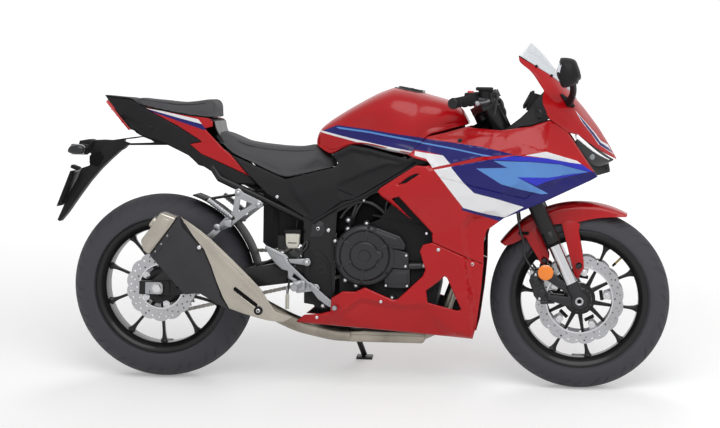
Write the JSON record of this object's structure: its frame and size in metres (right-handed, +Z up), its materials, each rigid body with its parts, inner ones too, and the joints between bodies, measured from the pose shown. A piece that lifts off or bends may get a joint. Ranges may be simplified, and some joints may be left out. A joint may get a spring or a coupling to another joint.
{
  "type": "sport bike",
  "caption": "Middleweight sport bike with a full fairing, leaning on its side stand; steering, both wheels, stand and fuel cap move.",
  "frame": {"origin": "middle of the bike's plan on the floor, leaning on its side stand", "axes": "+X forward along the bike, +Y to the rider's left, +Z up"},
  "size_m": [2.083, 0.7703, 1.1446],
  "materials": {
    "tyre_rubber": "matte",
    "satin_black_metal": "satin",
    "wheel_black": "satin",
    "disc_steel": "satin",
    "engine_metal": "satin",
    "cover_metal": "satin",
    "bare_alloy": "satin",
    "radiator_black": "matte",
    "axle_steel": "satin",
    "chain_steel": "satin",
    "shock_parts": "satin",
    "exhaust_steel": "satin",
    "silencer_grey": "matte",
    "champagne_trim": "satin",
    "tank_paint": "gloss",
    "body_paint": "gloss",
    "cap_metal": "satin",
    "seat_vinyl": "matte",
    "black_plastic": "matte",
    "tail_lens": "gloss",
    "lamp_glass": "gloss",
    "clear_screen": "gloss",
    "mirror_housing": "gloss",
    "peg_alloy": "satin",
    "clamp_black": "satin",
    "fork_chrome": "polished",
    "caliper_black": "satin",
    "bar_black": "matte",
    "hose_black": "satin"
  },
  "bodies": {
    "bike": {"main_frame": "satin_black_metal", "engine_block": "engine_metal", "engine_covers": "cover_metal", "radiator": "radiator_black", "swingarm": "satin_black_metal", "axle_and_pivot": "axle_steel", "rear_shock": "shock_parts", "drive_chain": "chain_steel", "exhaust_pipes": "exhaust_steel", "silencer": "silencer_grey", "silencer_trim": "champagne_trim", "fuel_tank": "tank_paint", "rider_seat": "seat_vinyl", "passenger_seat": "seat_vinyl", "side_covers": "black_plastic", "tail_cowl": "body_paint", "rear_lamps": "tail_lens", "plate_holder": "black_plastic", "side_fairings": "body_paint", "belly_cowls": "body_paint", "nose_cowl": "body_paint", "headlights": "lamp_glass", "windscreen": "clear_screen", "cockpit_panel": "black_plastic", "mirrors": "mirror_housing", "inner_guard": "black_plastic", "footrests": "peg_alloy", "foot_controls": "peg_alloy", "rear_caliper": "caliper_black"},
    "steering": {"fork_clamps": "clamp_black", "fork_legs": "fork_chrome", "front_axle": "axle_steel", "front_calipers": "caliper_black", "front_fender": "body_paint", "handlebars": "bar_black", "brake_hoses": "hose_black"},
    "front_wheel": {"front_tyre": "tyre_rubber", "front_rim": "wheel_black", "front_discs": "disc_steel"},
    "rear_wheel": {"rear_tyre": "tyre_rubber", "rear_rim": "wheel_black", "rear_disc": "disc_steel", "rear_sprocket": "disc_steel"},
    "side_stand": {"side_stand": "satin_black_metal"},
    "fuel_cap": {"fuel_cap": "cap_metal"}
  },
  "joints": [
    {"name": "steering_turn", "type": "hinge", "parent": "bike", "child": "steering", "pos_m": [0.43137, -0.015, 0.85435], "axis": [-0.4305, 0.1412, 0.8915], "range_deg": [-30, 30]},
    {"name": "front_wheel_spin", "type": "hinge", "parent": "steering", "child": "front_wheel", "pos_m": [0.7415, -0.10326, 0.29705], "axis": [0, 0.9877, -0.1564], "continuous": true},
    {"name": "rear_wheel_spin", "type": "hinge", "parent": "bike", "child": "rear_wheel", "pos_m": [-0.6685, -0.10135, 0.30914], "axis": [0, 0.9877, -0.1564], "continuous": true},
    {"name": "side_stand_fold", "type": "hinge", "parent": "bike", "child": "side_stand", "pos_m": [-0.0755, 0.0487, 0.23375], "axis": [0.0706, 0.9083, 0.4123], "range_deg": [0, 84]},
    {"name": "fuel_cap_hinge", "type": "hinge", "parent": "bike", "child": "fuel_cap", "pos_m": [0.20649, 0.00398, 0.97419], "axis": [0, 0.9877, -0.1564], "range_deg": [0, 95]}
  ]
}
